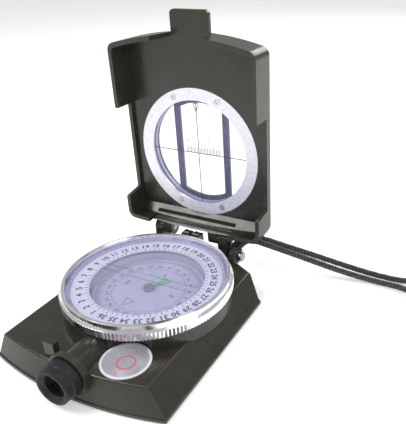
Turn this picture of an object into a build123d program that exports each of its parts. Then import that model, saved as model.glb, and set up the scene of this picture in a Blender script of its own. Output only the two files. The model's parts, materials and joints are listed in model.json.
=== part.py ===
"""Sighting compass with its lid open: a knurled bezel and floating card in a cast base, a prism
eyepiece at the front, a bubble level, and a lid with a reticle window that stands up on its hinge.

Frame: millimetres, +Z up. The origin is on the bottom face, under the bezel's axis.
The eyepiece is towards -Y, the hinge towards +Y, and the bevelled ruler edge towards +X.
"""

import math
import os

from build123d import *

# ---------------------------------------------------------------- driving dimensions
# Clearances
RUNNING_GAP = 0.05  # radial gap of a bearing
FIXED_GAP = 0.02  # radial gap of a part that is pressed or glued in
FREE_GAP = 0.3  # gap between parts that only pass each other

# Base casting and bottom plate
DECK_Z = 9.15
PLATE_THICKNESS = 1.6
PLATE_LIP = 0.4
BASE_LEFT_TOP = -30.0
BASE_LEFT_FOOT = -32.4
BASE_RIGHT_TOP = 24.7
BASE_RIGHT_FOOT = 31.1
BASE_FRONT_TOP = -35.9
BASE_FRONT_FOOT = -37.7
FRONT_BOW_TOP = 3.3  # how far the front edge bows out at its middle
FRONT_BOW_FOOT = 4.3
BASE_BACK_SIDE_TOP = 27.6  # where the straight sides end
BASE_BACK_SIDE_FOOT = 22.1
BASE_BACK_CORNER = 31.4  # where the back's arc starts
BACK_CORNER_INSET_TOP = 7.4
BACK_CORNER_INSET_FOOT = 11.4
BACK_BOW = 3.6
BASE_EDGE_RADIUS = 0.7
PLATE_SCREW_R = 1.0
PLATE_SCREW_LENGTH = 5.0
PLATE_SCREW_HEAD_R = 1.9
PLATE_SCREW_LEFT_X = -25.5
PLATE_SCREW_RIGHT_X = 21.5
PLATE_SCREW_FRONT_Y = -32.0
PLATE_SCREW_BACK_Y = 22.0

# Capsule, card and pivot
NECK_R = 28.6
NECK_TOP = 13.0
CAPSULE_R = 22.4
CAPSULE_WALL = 1.6
CAPSULE_FLOOR_Z = 3.4
CAPSULE_FLOOR = 1.2
CAPSULE_TOP = 14.9
WINDOW_THICKNESS = 0.8
CAPSULE_SEAL = 0.4
CARD_GAP = 1.6  # round the card, inside the cup
CARD_Z = 11.2
CARD_THICKNESS = 0.5
HUB_R = 1.9
HUB_TOP = 13.1
PIVOT_R = 0.6
PIVOT_TIP_Z = 12.3
MAGNET_SIZE = (15.0, 4.0, 1.6)
ARROW_LENGTH = 6.0
ARROW_WIDTH = 3.6
ARROW_THICKNESS = 0.25

# Bezel
BEZEL_BOTTOM = 13.35
KNURL_TOP = 15.8
KNURL_R = 29.1
KNURL_DEPTH = 0.35
KNURL_TEETH = 150
BEZEL_R = 28.2
BEZEL_SHOULDER_Z = 16.4
BEZEL_TOP = 18.2
BEZEL_FLANGE_TOP = 14.3
BEZEL_INNER_R = 25.8
CRYSTAL_R = 26.9
DIAL_INNER_R = 19.4
DIAL_Z = 15.2
DIAL_THICKNESS = 0.5
CRYSTAL_Z = 16.5
CRYSTAL_THICKNESS = 0.9
SNAP_RING_SECTION = 0.5
FRICTION_RING_R = 27.4

# Bubble level
LEVEL_X = 12.9
LEVEL_Y = -29.9
LEVEL_R = 7.65
LEVEL_WALL = 0.7
LEVEL_FLOOR_Z = 4.4
LEVEL_RIM_Z = 9.5
LEVEL_LENS_EDGE = 1.0
LEVEL_DOME = 1.4
BUBBLE_R = 2.1
BUBBLE_HEIGHT = 0.8

# Eyepiece
EYE_Z = 7.86
RIDGE_R = 5.1
COLLAR_R = 7.0
COLLAR_FRONT_Y = -41.0
COLLAR_BACK_Y = -39.0
EYECUP_R = 6.15
EYECUP_LIP_R = 5.8
EYECUP_FRONT_Y = -46.9
EYECUP_STEP_Y = -44.4
SLEEVE_R = 4.2
SLEEVE_WALL = 0.6
SLEEVE_FRONT_Y = -45.2
SLEEVE_BACK_Y = -33.5
CELL_WALL = 0.5
CELL_FRONT_Y = -43.8
CELL_LENGTH = 5.5
LENS_THICKNESS = 1.8
FOCUS_TRAVEL = 1.2
PRISM_SIDE = 5.4
PRISM_BACK_Y = -23.6
CAVITY_WIDTH = 6.4
TAB_SIZE = (3.9, 2.2)  # width and thickness of the front tab
TAB_X = -8.4
TAB_SETBACK = 1.1
TAB_TOP = 14.4

# Hinge
HINGE_X = -2.6  # middle of the hinge, off the lid's middle
HINGE_Y = 33.8
HINGE_Z = 16.8
PIN_R = 0.95
EAR_OUT = 15.9  # from the hinge's middle to an ear's outer face
EAR_THICKNESS = 3.6
EAR_R = 2.6
EAR_FOOT = (30.9, 36.2)  # the ears' feet reach from here to here along Y
EAR_FOOT_TOP = 13.0
LUG_IN = 8.1  # from the hinge's middle to a lug's inner face
LUG_R = 2.6
STOP_Y = 33.0  # the two posts under the lid's edge that stop it when it opens too far
STOP_R = 1.8
STOP_TOP = 17.6
STOP_WIDTH = 3.5
STOP_GAP = 0.8
WASHER_THICKNESS = 0.4
WASHER_GAP = 0.05
WASHER_R = 2.2
PIN_HEAD_R = 1.5
PIN_HEAD = 0.5

# Lid, standing open; "depth" is measured forwards from its outer plane
LID_BACK_Y = 38.4
LID_HALF_WIDTH = 28.4
LID_WALL = 1.45
LID_PLATE = 1.4
LID_DEPTH = 10.1
LID_NOTCH_DEPTH = 2.7
LID_CORNER_Z = 87.0
LID_TOP_BOW = 4.0
LID_BOTTOM_Z = 20.8
LID_BOTTOM_BOW = 1.0
HINGE_WALL_R = 4.4  # the bottom wall stays inside this radius of the hinge, behind the bezel
HINGE_WALL_LEFT = -18.9  # where that stretch of wall starts and ends
HINGE_WALL_RIGHT = 15.6
SHUT_GAP = 0.3  # between the shut lid and the bezel
LID_BEVEL_TOP = 23.8  # the bevel along the bottom of the outer face starts here
LID_BEVEL_SIZE = (3.4, 3.0)  # how far the bevel runs forwards and down
NOTCH_LOW_Z = 31.0
NOTCH_HIGH_Z = 64.6
TOP_NOTCH_HALF_RIM = 10.8
TOP_NOTCH_HALF_PLATE = 7.6
THUMB_TAB_HALF = 7.5
THUMB_TAB_HEIGHT = 11.0
THUMB_TAB_RADIUS = 1.6
LID_CORNER_RADIUS = 3.0

# Sighting window
WINDOW_Z = 48.0
BOSS_MARGIN = 1.0  # the boss round the ring
BOSS_PROUD = 3.0
RING_R = 24.2
RING_WIDTH = 4.4
RING_THICKNESS = 0.8
GLASS_LAP = 1.2  # how far the glass goes under the ring
GLASS_THICKNESS = 1.2
GASKET_WIDTH = 1.1
BAR_THICKNESS = 1.0
BAR_INNER_X = 8.8
BAR_OUTER_X = 11.2
WEB_WIDTH = 1.8  # of the arcs between the bars, inside the gasket
RING_SCREW_INSET = 2.2  # from the ring's edge to its screws
RING_SCREW_ANGLE = 66.0
RING_SCREW_R = 0.6
RING_SCREW_HEAD_R = 1.15
RING_SCREW_HEAD = 0.35
RETICLE_LINE = 0.25
RETICLE_THICKNESS = 0.1
RING_INNER_R = RING_R - RING_WIDTH
GLASS_R = RING_INNER_R + GLASS_LAP
GASKET_INNER_R = GLASS_R - GASKET_WIDTH
WEB_INNER_R = GASKET_INNER_R - WEB_WIDTH
GLASS_FRONT = LID_PLATE - RING_THICKNESS  # depths in the window's own frame
GLASS_BACK = GLASS_FRONT - GLASS_THICKNESS
BAR_FRONT = BAR_THICKNESS - BOSS_PROUD
BOSS_R = RING_R + BOSS_MARGIN
RING_SCREW_PITCH_R = RING_R - RING_SCREW_INSET

# Lanyard
POST_Y = 34.4
POST_Z = 10.2
POST_R = 1.45
POST_LENGTH = 4.2
POST_HEAD_R = 1.95
POST_HEAD = 1.3
POST_ROOT = 2.6
CORD_R = 1.15
HITCH_WIDTH = 4.0  # two turns of cord, squeezed against the post's head
COIL_CENTRE = (102.0, 54.0)
COIL_MEAN_R = 12.65
COIL_ROW = 5  # turns side by side in a row
COIL_ROWS = 2
COIL_TURNS = 9.65
STRAND_BACK_ROUTE = [
    (14.35, 34.6, 13.3),
    (15.6, 37.2, 15.9),
    (19.6, 39.6, 16.9),
    (25.0, 41.3, 15.6),
    (31.2, 44.6, 12.6),
    (40.0, 49.8, 8.2),
    (50.8, 53.4, 4.4),
    (63.5, 55.3, 1.8),
    (77.0, 56.3, 1.2),
    (91.6, 67.4, 1.2),
]
STRAND_FRONT_ROUTE = [
    (16.7, 34.6, 13.3),
    (18.0, 36.4, 15.6),
    (21.6, 37.3, 16.6),
    (26.8, 38.3, 15.3),
    (33.0, 41.5, 12.2),
    (41.8, 45.5, 8.2),
    (52.3, 48.7, 4.4),
    (64.5, 51.0, 1.8),
    (78.0, 51.5, 1.2),
    (91.6, 40.6, 2.0),
]

parts = {}


# ---------------------------------------------------------------- helpers
def disc(radius, low, high, x=0.0, y=0.0):
    """A cylinder along Z from low to high."""
    return Pos(x, y, low) * extrude(Circle(radius), high - low)


def tube(outer, inner, low, high, x=0.0, y=0.0):
    """A ring along Z from low to high."""
    return disc(outer, low, high, x, y) - disc(inner, low - 1, high + 1, x, y)


def rod_x(radius, left, right, y, z):
    """A cylinder along X."""
    return Pos(left, y, z) * Rot(0, 90, 0) * extrude(Circle(radius), right - left)


def rod_y(radius, front, back, x, z):
    """A cylinder along Y."""
    return Pos(x, front, z) * Rot(-90, 0, 0) * extrude(Circle(radius), back - front)


def block(low, high):
    """A box between two corners."""
    size = [b - a for a, b in zip(low, high)]
    middle = [(a + b) / 2 for a, b in zip(low, high)]
    return Pos(*middle) * Box(*size)


def turned(points):
    """A solid of revolution about Z from (radius, z) points."""
    profile = make_face(Polyline(*[(r, 0, z) for r, z in points], close=True))
    return revolve(profile, Axis.Z, 360)


def at_window(solid):
    """Moves a solid made about Z at the origin, with +Z towards the viewer, to the lid's window.
    Its z is then depth: 0 on the lid's outer plane, growing forwards."""
    return Pos(0, LID_BACK_Y, WINDOW_Z) * Rot(90, 0, 0) * solid


# ---------------------------------------------------------------- base
def base_outline(z, left, right, front, front_bow, side_end, inset):
    """The base's outline at a height: straight sides, bowed front and back, cut back corners."""
    front_left, front_right = (left, front, z), (right, front, z)
    side_right, side_left = (right, side_end, z), (left, side_end, z)
    back_right = (right - inset, BASE_BACK_CORNER, z)
    back_left = (left + inset, BASE_BACK_CORNER, z)
    middle = (left + right) / 2
    edges = [
        ThreePointArc(front_left, (middle, front - front_bow, z), front_right),
        Line(front_right, side_right),
        Line(side_right, back_right),
        ThreePointArc(back_right, (middle, BASE_BACK_CORNER + BACK_BOW, z), back_left),
        Line(back_left, side_left),
        Line(side_left, front_left),
    ]
    return make_face(edges)


def foot_outline(z):
    return base_outline(
        z,
        BASE_LEFT_FOOT,
        BASE_RIGHT_FOOT,
        BASE_FRONT_FOOT,
        FRONT_BOW_FOOT,
        BASE_BACK_SIDE_FOOT,
        BACK_CORNER_INSET_FOOT,
    )


def deck_outline(z):
    return base_outline(
        z,
        BASE_LEFT_TOP,
        BASE_RIGHT_TOP,
        BASE_FRONT_TOP,
        FRONT_BOW_TOP,
        BASE_BACK_SIDE_TOP,
        BACK_CORNER_INSET_TOP,
    )


def plate_screw_places():
    """The four bottom-plate screws."""
    ys = (PLATE_SCREW_FRONT_Y, PLATE_SCREW_BACK_Y)
    return [(x, y) for x in (PLATE_SCREW_LEFT_X, PLATE_SCREW_RIGHT_X) for y in ys]


def hinge_ears():
    """The two outer ears, each a rounded lug on a foot that runs down the back of the case."""
    ears = []
    foot_front, foot_back = EAR_FOOT
    for left in (HINGE_X - EAR_OUT, HINGE_X + EAR_OUT - EAR_THICKNESS):
        right = left + EAR_THICKNESS
        ear = rod_x(EAR_R, left, right, HINGE_Y, HINGE_Z)
        neck_low = (left, HINGE_Y - EAR_R, EAR_FOOT_TOP - 1)
        ear += block(neck_low, (right, HINGE_Y + EAR_R, HINGE_Z))
        ear += block((left, foot_front, PLATE_THICKNESS), (right, foot_back, EAR_FOOT_TOP))
        ears.append(ear)
    return ears


def lid_stops():
    """Two rounded posts beside the hinge's middle, on the deck's back edge."""
    stops = []
    for left in (HINGE_X + STOP_GAP / 2, HINGE_X - STOP_GAP / 2 - STOP_WIDTH):
        right = left + STOP_WIDTH
        post = rod_x(STOP_R, left, right, STOP_Y, STOP_TOP - STOP_R)
        low = (left, STOP_Y - STOP_R, DECK_Z - 2)
        post += block(low, (right, STOP_Y + STOP_R, STOP_TOP - STOP_R))
        round_r = STOP_WIDTH / 2
        outline = rod_y(round_r, STOP_Y - STOP_R, STOP_Y + STOP_R, left + round_r, STOP_TOP - round_r)
        outline += block(low, (right, STOP_Y + STOP_R, STOP_TOP - round_r))
        stops.append(post & outline)
    return stops


def base_casting():
    shell = loft([foot_outline(PLATE_THICKNESS), deck_outline(DECK_Z)], ruled=True)
    shell = fillet(shell.faces().sort_by(Axis.Z)[-1].edges(), BASE_EDGE_RADIUS)
    shell += disc(NECK_R, DECK_Z - 1, NECK_TOP)
    shell += rod_y(RIDGE_R, COLLAR_FRONT_Y + 1, -CAPSULE_R, 0, EYE_Z)
    shell += rod_y(COLLAR_R, COLLAR_FRONT_Y, COLLAR_BACK_Y, 0, EYE_Z)
    tab_width, tab_thickness = TAB_SIZE
    tab_front = BASE_FRONT_TOP - FRONT_BOW_TOP + TAB_SETBACK
    tab_low = (TAB_X - tab_width / 2, tab_front, DECK_Z - 3)
    shell += block(tab_low, (TAB_X + tab_width / 2, tab_front + tab_thickness, TAB_TOP))
    for lug in hinge_ears() + lid_stops():
        shell += lug
    # nothing of the casting goes below the bottom plate
    shell -= block((-40, -60, -20), (40, 60, PLATE_THICKNESS))
    # bore for the capsule
    shell -= disc(CAPSULE_R + FIXED_GAP, CAPSULE_FLOOR_Z, NECK_TOP + 1)
    # pocket for the bubble level, which also bites into the neck
    shell -= disc(LEVEL_R + FIXED_GAP, LEVEL_FLOOR_Z, DECK_Z + 0.01, LEVEL_X, LEVEL_Y)
    shell -= disc(LEVEL_R + FREE_GAP, DECK_Z, NECK_TOP + 1, LEVEL_X, LEVEL_Y)
    # eyepiece bore and prism cavity
    shell -= rod_y(SLEEVE_R + FIXED_GAP, COLLAR_FRONT_Y - 5, SLEEVE_BACK_Y, 0, EYE_Z)
    cavity_floor = EYE_Z - PRISM_SIDE / 2
    cavity_low = (-CAVITY_WIDTH / 2, SLEEVE_BACK_Y - 1, cavity_floor)
    shell -= block(cavity_low, (CAVITY_WIDTH / 2, -CAPSULE_R + 1, EYE_Z + PRISM_SIDE / 2 + 0.6))
    # room for the eyecup in front of the collar
    eyecup_room = EYECUP_R + FREE_GAP
    shell -= rod_y(eyecup_room, COLLAR_FRONT_Y - 9, COLLAR_FRONT_Y, 0, EYE_Z)
    # hinge pin, lanyard post and the notch that the lanyard's hitch needs
    ear_left, ear_right = HINGE_X - EAR_OUT, HINGE_X + EAR_OUT
    shell -= rod_x(PIN_R + FIXED_GAP, ear_left - 1, ear_right + 1, HINGE_Y, HINGE_Z)
    shell -= rod_x(POST_R + FIXED_GAP, ear_right - POST_ROOT, ear_right + 1, POST_Y, POST_Z)
    hitch_r = POST_R + 2 * CORD_R + FREE_GAP
    shell -= rod_x(hitch_r, ear_right, ear_right + POST_LENGTH + POST_HEAD + 1, POST_Y, POST_Z)
    for x, y in plate_screw_places():
        shell -= disc(PLATE_SCREW_R + FIXED_GAP, 0, PLATE_SCREW_LENGTH + 0.5, x, y)
    return shell


def base_plate():
    outline = offset(foot_outline(0), PLATE_LIP, kind=Kind.INTERSECTION)
    plate = extrude(outline, PLATE_THICKNESS)
    plate = chamfer(plate.faces().sort_by(Axis.Z)[0].edges(), PLATE_LIP * 1.5)
    for x, y in plate_screw_places():
        plate -= disc(PLATE_SCREW_R + FIXED_GAP, -1, 3, x, y)
        plate -= disc(PLATE_SCREW_HEAD_R + FIXED_GAP, -1, PLATE_THICKNESS * 0.6, x, y)
    return plate


def base_plate_screws():
    screws = []
    for x, y in plate_screw_places():
        screw = disc(PLATE_SCREW_HEAD_R, 0.2, PLATE_THICKNESS * 0.6, x, y)
        screw += disc(PLATE_SCREW_R, PLATE_THICKNESS * 0.6, PLATE_SCREW_LENGTH, x, y)
        for angle in (0, 90):
            slot_box = Rot(0, 0, angle) * Box(2.4, 0.5, 0.8)
            screw -= Pos(x, y, 0.2) * slot_box
        screws.append(screw)
    return Compound(screws)


# ---------------------------------------------------------------- capsule and card
def capsule_cup():
    inner = CAPSULE_R - CAPSULE_WALL
    ledge_z = CAPSULE_TOP - WINDOW_THICKNESS - CAPSULE_SEAL
    cup = disc(CAPSULE_R, CAPSULE_FLOOR_Z, CAPSULE_TOP)
    cup -= disc(inner, CAPSULE_FLOOR_Z + CAPSULE_FLOOR, CAPSULE_TOP + 1)
    cup -= disc(inner + CAPSULE_WALL / 2, ledge_z, CAPSULE_TOP + 1)
    # groove of the snap ring
    groove_low = BEZEL_FLANGE_TOP + RUNNING_GAP
    groove = tube(CAPSULE_R + 1, CAPSULE_R - 0.4, groove_low, groove_low + SNAP_RING_SECTION)
    cup -= groove
    cup -= disc(PIVOT_R + FIXED_GAP, CAPSULE_FLOOR_Z - 1, CAPSULE_FLOOR_Z + CAPSULE_FLOOR + 1)
    return cup


def capsule_gasket():
    outer = CAPSULE_R - CAPSULE_WALL / 2 - FIXED_GAP
    low = CAPSULE_TOP - WINDOW_THICKNESS - CAPSULE_SEAL
    return tube(outer, CAPSULE_R - CAPSULE_WALL, low, low + CAPSULE_SEAL)


def capsule_window():
    outer = CAPSULE_R - CAPSULE_WALL / 2 - FIXED_GAP
    return disc(outer, CAPSULE_TOP - WINDOW_THICKNESS, CAPSULE_TOP)


def pivot_pin():
    floor = CAPSULE_FLOOR_Z
    cone = 1.4
    return turned(
        [
            (0, floor),
            (PIVOT_R, floor),
            (PIVOT_R, PIVOT_TIP_Z - cone),
            (0.1, PIVOT_TIP_Z),
            (0, PIVOT_TIP_Z),
        ]
    )


def compass_card():
    card_r = CAPSULE_R - CAPSULE_WALL - CARD_GAP
    card = disc(card_r, CARD_Z, CARD_Z + CARD_THICKNESS)
    return card - disc(HUB_R - 0.5, CARD_Z - 1, CARD_Z + 2)


def card_hub():
    """A cap on the card with a jewel cone that rides on the pivot's tip."""
    hub = disc(HUB_R, CARD_Z + CARD_THICKNESS, HUB_TOP)
    hub += disc(HUB_R - 0.5 - FIXED_GAP, CARD_Z, HUB_TOP)
    hub = fillet(hub.faces().sort_by(Axis.Z)[-1].edges(), 0.4)
    bore_r = PIVOT_R + 0.25
    hub -= disc(bore_r, CARD_Z - 1, PIVOT_TIP_Z - 1.0)
    cone = turned([(0, PIVOT_TIP_Z - 1.0), (bore_r, PIVOT_TIP_Z - 1.0), (0, PIVOT_TIP_Z + 0.12)])
    return hub - cone


def card_magnet():
    length, width, height = MAGNET_SIZE
    magnet = Pos(0, 0, CARD_Z - height / 2) * Box(length, width, height)
    magnet = fillet(magnet.edges().filter_by(Axis.Z), 0.8)
    return magnet - disc(HUB_R - 0.5, 0, CARD_Z + 1)


def luminous_arrow():
    """A raised wedge on the card beside the hub, pointing to the card's north."""
    z = CARD_Z + CARD_THICKNESS
    start = HUB_R + 0.2
    wedge = Polyline(
        (-ARROW_WIDTH / 4, start),
        (ARROW_WIDTH / 4, start),
        (ARROW_WIDTH / 2, start + ARROW_LENGTH),
        (-ARROW_WIDTH / 2, start + ARROW_LENGTH),
        close=True,
    )
    return Pos(0, 0, z) * Rot(0, 0, -22) * extrude(make_face(wedge), ARROW_THICKNESS)


# ---------------------------------------------------------------- bezel
def knurl_band():
    points = []
    for i in range(2 * KNURL_TEETH):
        radius = KNURL_R - (KNURL_DEPTH if i % 2 else 0)
        angle = math.pi * i / KNURL_TEETH
        points.append((radius * math.cos(angle), radius * math.sin(angle)))
    band = extrude(make_face(Polyline(*points, close=True)), KNURL_TOP - BEZEL_BOTTOM)
    return Pos(0, 0, BEZEL_BOTTOM) * band - disc(BEZEL_R, BEZEL_BOTTOM - 1, KNURL_TOP + 1)


def bezel_ring():
    seat = CRYSTAL_R + FIXED_GAP
    profile = [
        (CAPSULE_R + RUNNING_GAP, BEZEL_BOTTOM),
        (BEZEL_R, BEZEL_BOTTOM),
        (BEZEL_R, KNURL_TOP),
        (KNURL_R - KNURL_DEPTH, KNURL_TOP),
        (BEZEL_R, BEZEL_SHOULDER_Z),
        (BEZEL_R, BEZEL_TOP - 0.25),
        (BEZEL_R - 0.25, BEZEL_TOP),
        (seat + 0.2, BEZEL_TOP),
        (seat, BEZEL_TOP - 0.4),
        (seat, DIAL_Z),
        (BEZEL_INNER_R, DIAL_Z),
        (BEZEL_INNER_R, BEZEL_FLANGE_TOP),
        (CAPSULE_R + RUNNING_GAP, BEZEL_FLANGE_TOP),
    ]
    return turned(profile) + knurl_band()


def bezel_dial():
    return tube(CRYSTAL_R, DIAL_INNER_R, DIAL_Z, DIAL_Z + DIAL_THICKNESS)


def crystal_gasket():
    return tube(CRYSTAL_R, CRYSTAL_R - 0.7, DIAL_Z + DIAL_THICKNESS, CRYSTAL_Z)


def bezel_crystal():
    crystal = disc(CRYSTAL_R, CRYSTAL_Z, CRYSTAL_Z + CRYSTAL_THICKNESS)
    return chamfer(crystal.faces().sort_by(Axis.Z)[-1].edges(), 0.2)


def bezel_snap_ring():
    low = BEZEL_FLANGE_TOP + RUNNING_GAP * 1.5
    ring = tube(CAPSULE_R + 0.7, CAPSULE_R - 0.35, low, low + SNAP_RING_SECTION - RUNNING_GAP)
    return ring - block((-1.5, 0, 0), (1.5, CAPSULE_R + 5, BEZEL_TOP))


def bezel_friction_ring():
    ring = tube(FRICTION_RING_R, CAPSULE_R + 1.0, NECK_TOP, BEZEL_BOTTOM - RUNNING_GAP)
    return ring - disc(LEVEL_R + FREE_GAP, DECK_Z, BEZEL_TOP, LEVEL_X, LEVEL_Y)


# ---------------------------------------------------------------- bubble level
def level_cup():
    cup = disc(LEVEL_R, LEVEL_FLOOR_Z, LEVEL_RIM_Z, LEVEL_X, LEVEL_Y)
    inner_low = LEVEL_FLOOR_Z + LEVEL_WALL
    return cup - disc(LEVEL_R - LEVEL_WALL, inner_low, LEVEL_RIM_Z + 1, LEVEL_X, LEVEL_Y)


def level_bubble():
    squash = BUBBLE_HEIGHT / (2 * BUBBLE_R)
    top = LEVEL_RIM_Z - LEVEL_LENS_EDGE - FIXED_GAP
    bubble = scale(Sphere(BUBBLE_R), by=(1, 1, squash))
    return Pos(LEVEL_X, LEVEL_Y, top - BUBBLE_HEIGHT / 2) * bubble


def level_liquid():
    radius = LEVEL_R - LEVEL_WALL
    high = LEVEL_RIM_Z - LEVEL_LENS_EDGE
    liquid = disc(radius, LEVEL_FLOOR_Z + LEVEL_WALL, high, LEVEL_X, LEVEL_Y)
    return liquid - level_bubble()


def level_lens():
    radius = LEVEL_R - LEVEL_WALL - FIXED_GAP
    low = LEVEL_RIM_Z - LEVEL_LENS_EDGE
    ball_r = (radius**2 + LEVEL_DOME**2) / (2 * LEVEL_DOME)
    lens = disc(radius, low, LEVEL_RIM_Z + LEVEL_DOME, LEVEL_X, LEVEL_Y)
    ball = Pos(LEVEL_X, LEVEL_Y, LEVEL_RIM_Z + LEVEL_DOME - ball_r) * Sphere(ball_r)
    return lens & ball


# ---------------------------------------------------------------- eyepiece
def eyepiece_sleeve():
    sleeve = rod_y(SLEEVE_R, SLEEVE_FRONT_Y, SLEEVE_BACK_Y, 0, EYE_Z)
    return sleeve - rod_y(SLEEVE_R - SLEEVE_WALL, SLEEVE_FRONT_Y - 1, SLEEVE_BACK_Y + 1, 0, EYE_Z)


def lens_cell():
    outer = SLEEVE_R - SLEEVE_WALL - RUNNING_GAP
    back = CELL_FRONT_Y + CELL_LENGTH
    cell = rod_y(outer, CELL_FRONT_Y, back, 0, EYE_Z)
    seat_y = CELL_FRONT_Y + 0.6
    cell -= rod_y(outer - 2 * CELL_WALL, CELL_FRONT_Y - 1, back + 1, 0, EYE_Z)
    return cell - rod_y(outer - CELL_WALL, seat_y, back + 1, 0, EYE_Z)


def eye_lens():
    """A double-convex lens against the cell's front lip."""
    outer = SLEEVE_R - SLEEVE_WALL - RUNNING_GAP - CELL_WALL - FIXED_GAP
    front = CELL_FRONT_Y + 0.6
    ball_r = 6.0
    sag = ball_r - math.sqrt(ball_r**2 - outer**2)
    middle = front + LENS_THICKNESS / 2
    edge = LENS_THICKNESS / 2 - sag / 2
    lens = rod_y(outer, middle - edge - sag, middle + edge + sag, 0, EYE_Z)
    for side in (-1, 1):
        centre = middle + side * (edge + sag - ball_r)
        lens = lens & (Pos(0, centre, EYE_Z) * Sphere(ball_r))
    return lens


def eyecup():
    """A soft rubber sleeve with a stepped rim and a hollow, conical mouth."""
    back = COLLAR_FRONT_Y - FREE_GAP
    bore = SLEEVE_R + RUNNING_GAP
    mouth_r = EYECUP_LIP_R - 0.9
    profile = [
        (bore, back),
        (EYECUP_R, back),
        (EYECUP_R, EYECUP_STEP_Y + 0.4),
        (EYECUP_R - 0.3, EYECUP_STEP_Y),
        (EYECUP_LIP_R, EYECUP_STEP_Y),
        (EYECUP_LIP_R, EYECUP_FRONT_Y + 0.3),
        (EYECUP_LIP_R - 0.3, EYECUP_FRONT_Y),
        (mouth_r, EYECUP_FRONT_Y),
        (SLEEVE_R - SLEEVE_WALL, SLEEVE_FRONT_Y - 0.4),
        (SLEEVE_R - SLEEVE_WALL, SLEEVE_FRONT_Y - FREE_GAP),
        (bore, SLEEVE_FRONT_Y - FREE_GAP),
    ]
    face = make_face(Polyline(*[(r, y, 0) for r, y in profile], close=True))
    return Pos(0, 0, EYE_Z) * revolve(face, Axis.Y, 360)


def reading_prism():
    """A right-angle prism that turns the eyepiece's view down on to the card."""
    low = EYE_Z - PRISM_SIDE / 2
    front = PRISM_BACK_Y - PRISM_SIDE
    triangle = Polyline(
        (0, front, low), (0, PRISM_BACK_Y, low), (0, front, low + PRISM_SIDE), close=True
    )
    width = CAVITY_WIDTH - 0.8
    return Pos(-width / 2, 0, 0) * extrude(make_face(triangle), width, dir=(1, 0, 0))


def prism_clip():
    """A thin plate behind the eyepiece sleeve that holds the prism back."""
    low = EYE_Z - PRISM_SIDE / 2
    front = PRISM_BACK_Y - PRISM_SIDE
    plate = block((-CAVITY_WIDTH / 2, front - 0.5, low), (CAVITY_WIDTH / 2, front, low + PRISM_SIDE))
    return plate - rod_y(2.2, front - 2, front + 1, 0, EYE_Z)


# ---------------------------------------------------------------- hinge and lid
def hinge_pins():
    """Two short pins, each from an ear's outer face to its lug's inner face, with a low head outside."""
    pins = []
    for side in (-1, 1):
        outer = HINGE_X + side * EAR_OUT
        left, right = sorted((outer, HINGE_X + side * LUG_IN))
        head_left, head_right = sorted((outer, outer + side * PIN_HEAD))
        pin = rod_x(PIN_R, left, right, HINGE_Y, HINGE_Z)
        pins.append(pin + rod_x(PIN_HEAD_R, head_left, head_right, HINGE_Y, HINGE_Z))
    return Compound(pins)


def washer_span(side):
    """Where the friction washer beside an ear starts and ends along X."""
    ear_face = EAR_OUT - EAR_THICKNESS - WASHER_GAP
    return sorted((HINGE_X + side * ear_face, HINGE_X + side * (ear_face - WASHER_THICKNESS)))


def hinge_washers():
    washers = []
    for side in (-1, 1):
        low, high = washer_span(side)
        washer = rod_x(WASHER_R, low, high, HINGE_Y, HINGE_Z)
        washers.append(washer - rod_x(PIN_R + FIXED_GAP, low - 1, high + 1, HINGE_Y, HINGE_Z))
    return Compound(washers)


def lid_outline(inset, y):
    """The lid's outline in the X-Z plane: straight sides, bowed top and bottom."""
    half = LID_HALF_WIDTH - inset
    top, bottom = LID_CORNER_Z - inset, LID_BOTTOM_Z + inset
    top_left, top_right = (-half, y, top), (half, y, top)
    bottom_left, bottom_right = (-half, y, bottom), (half, y, bottom)
    return make_face(
        [
            Line(bottom_right, top_right),
            ThreePointArc(top_right, (0, y, top + LID_TOP_BOW), top_left),
            Line(top_left, bottom_left),
            ThreePointArc(bottom_left, (0, y, bottom - LID_BOTTOM_BOW), bottom_right),
        ]
    )


def above_bevel(inset):
    """The space above the lid's bottom bevel and in front of its outer plane, both moved in by inset."""
    forwards, down = LID_BEVEL_SIZE
    slope = math.hypot(forwards, down)
    lift = inset * slope / forwards
    reach = 5.0  # the bevel's line goes on past both of its ends
    lid_top = LID_CORNER_Z + THUMB_TAB_HEIGHT
    profile = Polyline(
        (0, LID_BACK_Y - inset, LID_BEVEL_TOP + lift - inset * down / forwards),
        (0, LID_BACK_Y - reach * forwards, LID_BEVEL_TOP + lift - reach * down),
        (0, LID_BACK_Y - reach * forwards, lid_top),
        (0, LID_BACK_Y - inset, lid_top),
        close=True,
    )
    width = 2 * LID_HALF_WIDTH + 2
    return Pos(-width / 2, 0, 0) * extrude(make_face(profile), width, dir=(1, 0, 0))


def lid_lugs():
    """The two lugs that carry the lid on its pin, up to the lid's bottom wall."""
    lug_out = EAR_OUT - EAR_THICKNESS - 2 * WASHER_GAP - WASHER_THICKNESS
    lugs = []
    for side in (-1, 1):
        left, right = sorted((HINGE_X + side * LUG_IN, HINGE_X + side * lug_out))
        lug = rod_x(LUG_R, left, right, HINGE_Y, HINGE_Z)
        low = (left, HINGE_Y - LUG_R, HINGE_Z)
        lug += block(low, (right, HINGE_Y + LUG_R, LID_BEVEL_TOP - 1.0))
        lugs.append(lug)
    return lugs


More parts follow.
